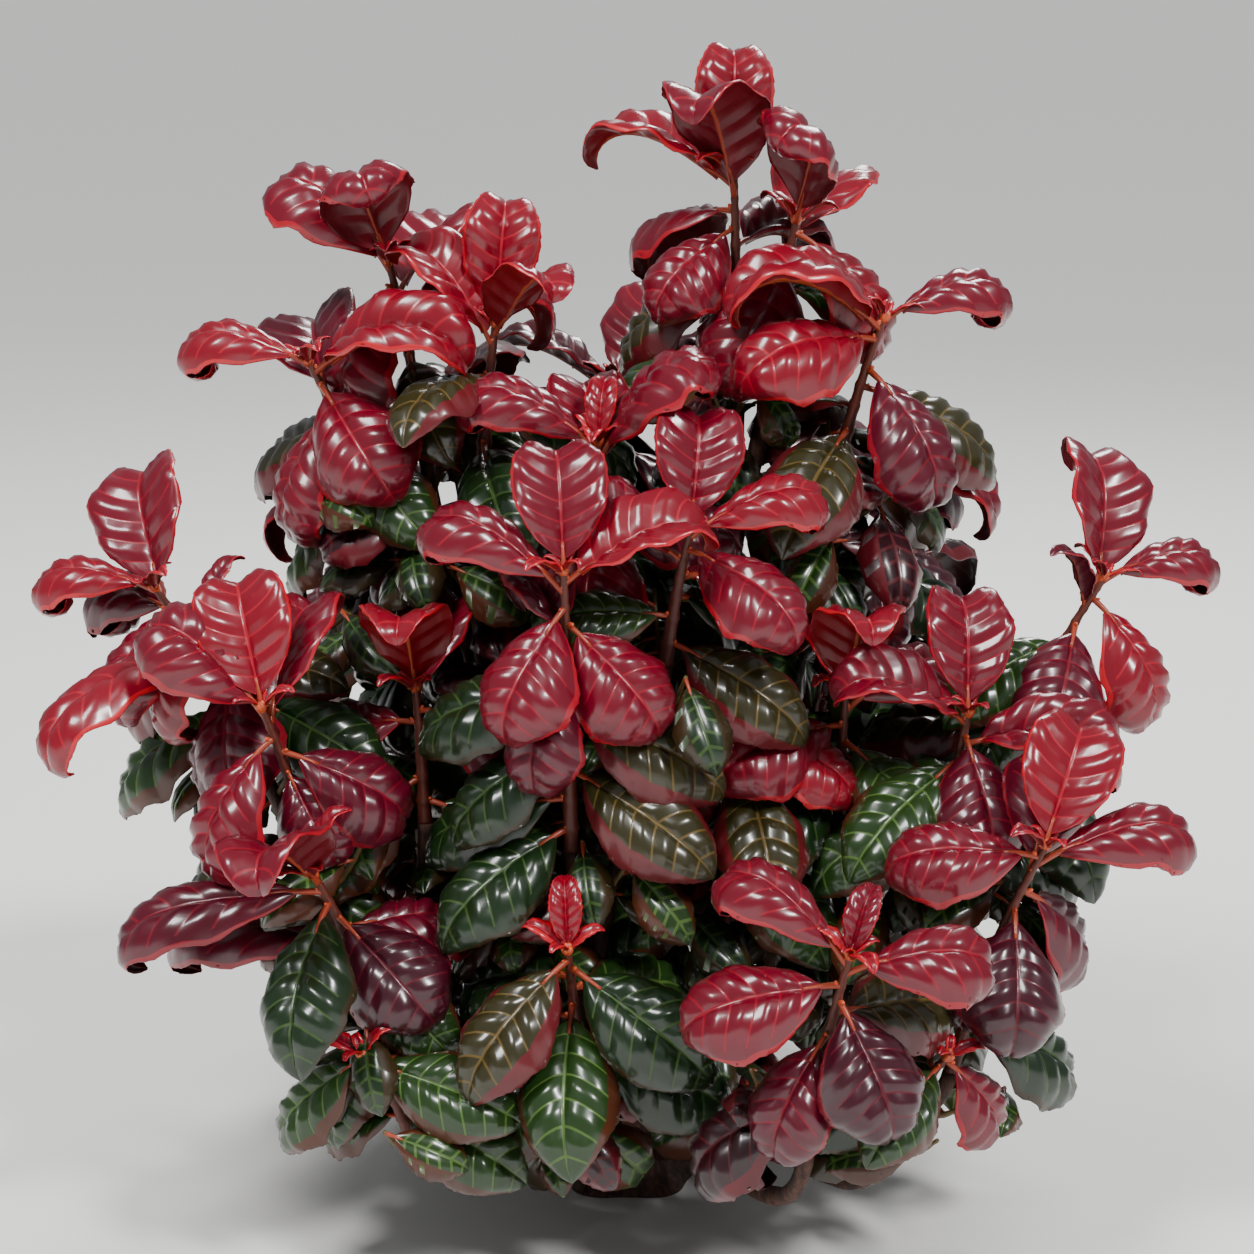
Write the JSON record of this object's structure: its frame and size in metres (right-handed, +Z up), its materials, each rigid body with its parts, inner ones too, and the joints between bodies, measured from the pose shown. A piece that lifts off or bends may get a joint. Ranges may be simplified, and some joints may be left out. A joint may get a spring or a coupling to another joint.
{
  "type": "coastal doghobble shrub",
  "caption": "Compact evergreen shrub with curled, puckered crimson leaves over deep green ones, rooted in the ground by a short woody foot.",
  "frame": {"origin": "centre of the flat cut under the woody foot, at ground level", "axes": "+Z up, -Y towards the front of the shrub as pictured, +X to the viewer's right"},
  "size_m": [0.4566, 0.3604, 0.461],
  "materials": {
    "bark": "matt reddish brown bark with fine furrows",
    "red_leaf": "glossy, puckered leaf in scarlet, crimson and burgundy",
    "green_leaf": "glossy, puckered leaf in deep green with a reddish rim"
  },
  "bodies": {
    "root": {"bough_back_left": "bark", "bough_back_mid": "bark", "bough_back_right": "bark", "bough_back_top": "bark", "bough_centre": "bark", "bough_centre_right": "bark", "bough_centre_top": "bark", "bough_crown_side": "bark", "bough_crown_top": "bark", "bough_cup_left": "bark", "bough_cup_right": "bark", "bough_front_right": "bark", "bough_inner_right": "bark", "bough_left_arch": "bark", "bough_left_cup": "bark", "bough_left_dark": "bark", "bough_left_front": "bark", "bough_left_low": "bark", "bough_left_mid": "bark", "bough_left_tip": "bark", "bough_right_dark": "bark", "bough_right_inner": "bark", "bough_right_mid": "bark", "bough_right_tip": "bark", "bough_upper_left": "bark", "bough_upper_right": "bark", "foot": "bark", "leaves_back_left": "red_leaf", "leaves_back_left_low": "red_leaf", "leaves_back_low": "green_leaf", "leaves_back_mid": "red_leaf", "leaves_back_right": "red_leaf", "leaves_back_right_low": "red_leaf", "leaves_back_top": "red_leaf", "leaves_centre": "red_leaf", "leaves_centre_right": "red_leaf", "leaves_centre_top": "red_leaf", "leaves_crown_side": "red_leaf", "leaves_crown_top": "red_leaf", "leaves_cup_left": "red_leaf", "leaves_cup_right": "red_leaf", "leaves_front_right": "red_leaf", "leaves_inner_right": "green_leaf", "leaves_left_arch": "red_leaf", "leaves_left_cup": "red_leaf", "leaves_left_dark": "red_leaf", "leaves_left_front": "red_leaf", "leaves_left_low": "red_leaf", "leaves_left_mid": "red_leaf", "leaves_left_tip": "red_leaf", "leaves_low_centre": "green_leaf", "leaves_low_left": "green_leaf", "leaves_low_right": "green_leaf", "leaves_right_dark": "red_leaf", "leaves_right_inner": "red_leaf", "leaves_right_mid": "red_leaf", "leaves_right_tip": "red_leaf", "leaves_upper_left": "red_leaf", "leaves_upper_right": "red_leaf"}
  },
  "joints": []
}
